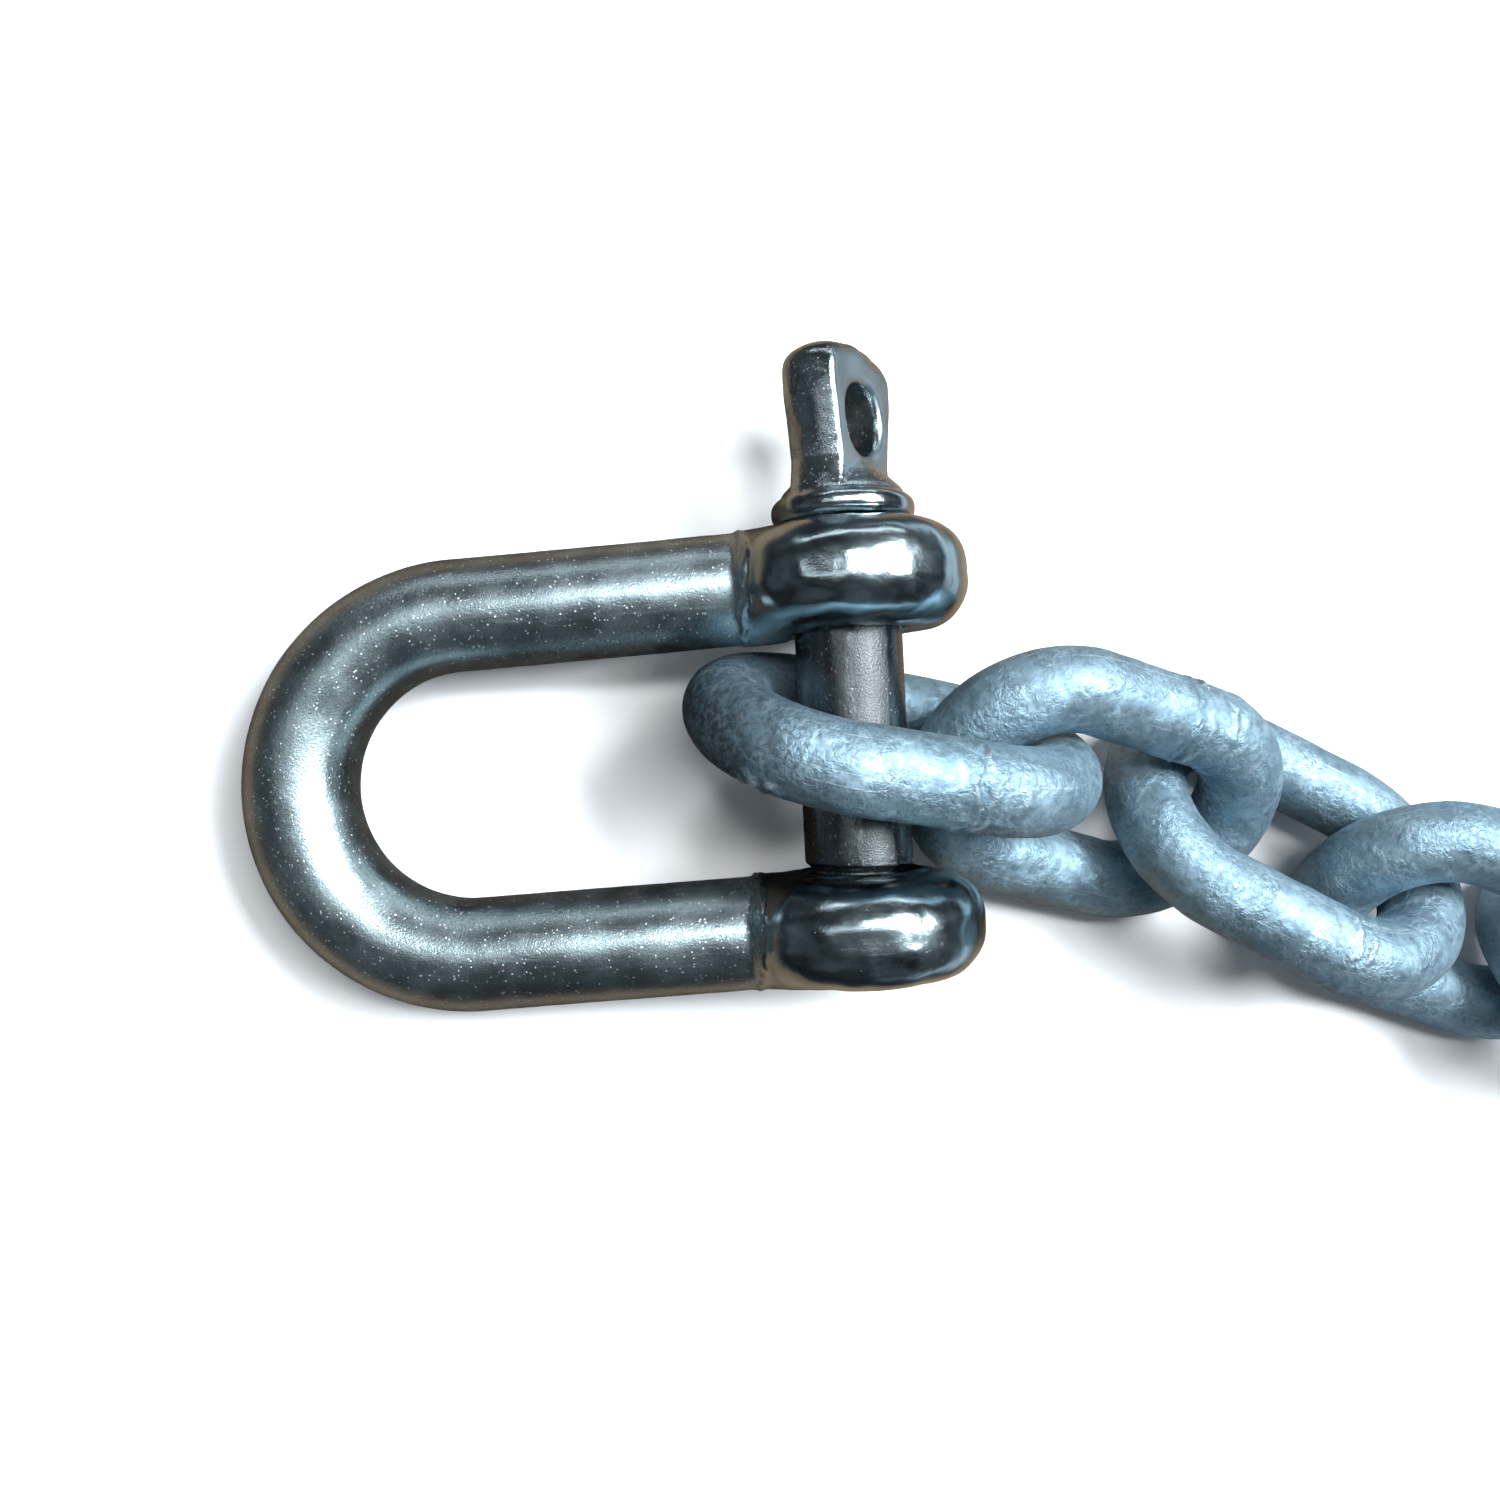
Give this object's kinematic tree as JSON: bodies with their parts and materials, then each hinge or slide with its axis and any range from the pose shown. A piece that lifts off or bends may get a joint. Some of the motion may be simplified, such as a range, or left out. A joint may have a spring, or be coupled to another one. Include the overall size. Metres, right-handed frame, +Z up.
{
  "type": "screw pin shackle with short-link chain",
  "caption": "Steel D shackle with a screw pin through its ears, holding the end of a galvanised short-link mooring chain, laid on a flat surface.",
  "frame": {"origin": "on the surface that the object lies on, under the middle of the shackle pin's axis between the two ears", "axes": "+Z up from the surface, +Y along the pin towards its eye, +X from the shackle towards the chain"},
  "size_m": [0.3605, 0.1997, 0.0274],
  "materials": {
    "stainless": "polished by tumbling, fine pits and soft reflections",
    "stainless_pin": "polished, with satin flats on the eye",
    "galvanised": "hot-dip zinc, mottled blue-grey, half matt"
  },
  "bodies": {
    "shackle_body": {"shackle_body": "stainless"},
    "screw_pin": {"screw_pin": "stainless_pin"},
    "chain_link_01": {"chain_link_01": "galvanised"},
    "chain_link_02": {"chain_link_02": "galvanised"},
    "chain_link_03": {"chain_link_03": "galvanised"},
    "chain_link_04": {"chain_link_04": "galvanised"},
    "chain_link_05": {"chain_link_05": "galvanised"},
    "chain_link_06": {"chain_link_06": "galvanised"},
    "chain_link_07": {"chain_link_07": "galvanised"},
    "chain_link_08": {"chain_link_08": "galvanised"},
    "chain_link_09": {"chain_link_09": "galvanised"},
    "chain_link_10": {"chain_link_10": "galvanised"},
    "chain_link_11": {"chain_link_11": "galvanised"},
    "chain_link_12": {"chain_link_12": "galvanised"},
    "chain_link_13": {"chain_link_13": "galvanised"},
    "chain_link_14": {"chain_link_14": "galvanised"},
    "chain_link_15": {"chain_link_15": "galvanised"},
    "chain_link_16": {"chain_link_16": "galvanised"},
    "chain_link_17": {"chain_link_17": "galvanised"},
    "chain_link_18": {"chain_link_18": "galvanised"}
  },
  "joints": [
    {"name": "pin_withdraw", "type": "slide", "parent": "shackle_body", "child": "screw_pin", "axis": [0, 1, 0], "range_m": [0, 0.045]},
    {"name": "link_01_on_pin", "type": "hinge", "parent": "shackle_body", "child": "chain_link_01", "pos_m": [0, 0, 0.0142], "axis": [0, 1, 0], "range_deg": [-80, 80]},
    {"name": "link_02_on_link_01", "type": "hinge", "parent": "chain_link_01", "child": "chain_link_02", "pos_m": [0.01965, -0.00203, 0.01227], "axis": [-0.0141, -0.5943, 0.8041], "range_deg": [-45, 80]},
    {"name": "link_03_on_link_02", "type": "hinge", "parent": "chain_link_02", "child": "chain_link_03", "pos_m": [0.04015, -0.00929, 0.00805], "axis": [0.1891, 0.5388, 0.8209], "range_deg": [-80, 80]},
    {"name": "link_04_on_link_03", "type": "hinge", "parent": "chain_link_03", "child": "chain_link_04", "pos_m": [0.05962, -0.01902, 0.01235], "axis": [0.2592, 0.6579, -0.7071], "range_deg": [-80, 80]},
    {"name": "link_05_on_link_04", "type": "hinge", "parent": "chain_link_04", "child": "chain_link_05", "pos_m": [0.08163, -0.02705, 0.01097], "axis": [-0.1651, -0.6876, -0.7071], "range_deg": [-80, 80]},
    {"name": "link_06_on_link_05", "type": "hinge", "parent": "chain_link_05", "child": "chain_link_06", "pos_m": [0.10455, -0.03193, 0.01097], "axis": [-0.0678, -0.7039, 0.7071], "range_deg": [-80, 80]},
    {"name": "link_07_on_link_06", "type": "hinge", "parent": "chain_link_06", "child": "chain_link_07", "pos_m": [0.12792, -0.03358, 0.01097], "axis": [-0.0308, 0.7064, 0.7071], "range_deg": [-80, 80]},
    {"name": "link_08_on_link_07", "type": "hinge", "parent": "chain_link_07", "child": "chain_link_08", "pos_m": [0.15129, -0.03196, 0.01097], "axis": [-0.1289, 0.6953, -0.7071], "range_deg": [-80, 80]},
    {"name": "link_09_on_link_08", "type": "hinge", "parent": "chain_link_08", "child": "chain_link_09", "pos_m": [0.17421, -0.0271, 0.01097], "axis": [0.2244, -0.6706, -0.7071], "range_deg": [-80, 80]},
    {"name": "link_10_on_link_09", "type": "hinge", "parent": "chain_link_09", "child": "chain_link_10", "pos_m": [0.19623, -0.0191, 0.01097], "axis": [0.3155, -0.6328, 0.7071], "range_deg": [-80, 80]},
    {"name": "link_11_on_link_10", "type": "hinge", "parent": "chain_link_10", "child": "chain_link_11", "pos_m": [0.21692, -0.00811, 0.01097], "axis": [-0.4005, 0.5827, 0.7071], "range_deg": [-80, 80]},
    {"name": "link_12_on_link_11", "type": "hinge", "parent": "chain_link_11", "child": "chain_link_12", "pos_m": [0.23588, 0.00565, 0.01097], "axis": [-0.4777, 0.5213, -0.7071], "range_deg": [-80, 80]},
    {"name": "link_13_on_link_12", "type": "hinge", "parent": "chain_link_12", "child": "chain_link_13", "pos_m": [0.25275, 0.02192, 0.01097], "axis": [0.5456, -0.4498, -0.7071], "range_deg": [-80, 80]},
    {"name": "link_14_on_link_13", "type": "hinge", "parent": "chain_link_13", "child": "chain_link_14", "pos_m": [0.26718, 0.04037, 0.01097], "axis": [0.6029, -0.3695, 0.7071], "range_deg": [-80, 80]},
    {"name": "link_15_on_link_14", "type": "hinge", "parent": "chain_link_14", "child": "chain_link_15", "pos_m": [0.27891, 0.06065, 0.01097], "axis": [-0.6485, 0.282, 0.7071], "range_deg": [-80, 80]},
    {"name": "link_16_on_link_15", "type": "hinge", "parent": "chain_link_15", "child": "chain_link_16", "pos_m": [0.2877, 0.08237, 0.01097], "axis": [-0.6814, 0.189, -0.7071], "range_deg": [-80, 80]},
    {"name": "link_17_on_link_16", "type": "hinge", "parent": "chain_link_16", "child": "chain_link_17", "pos_m": [0.29338, 0.1051, 0.01097], "axis": [0.7011, -0.0923, -0.7071], "range_deg": [-80, 80]},
    {"name": "link_18_on_link_17", "type": "hinge", "parent": "chain_link_17", "child": "chain_link_18", "pos_m": [0.29584, 0.1284, 0.01097], "axis": [0.7071, 0.0062, 0.7071], "range_deg": [-80, 80]}
  ]
}
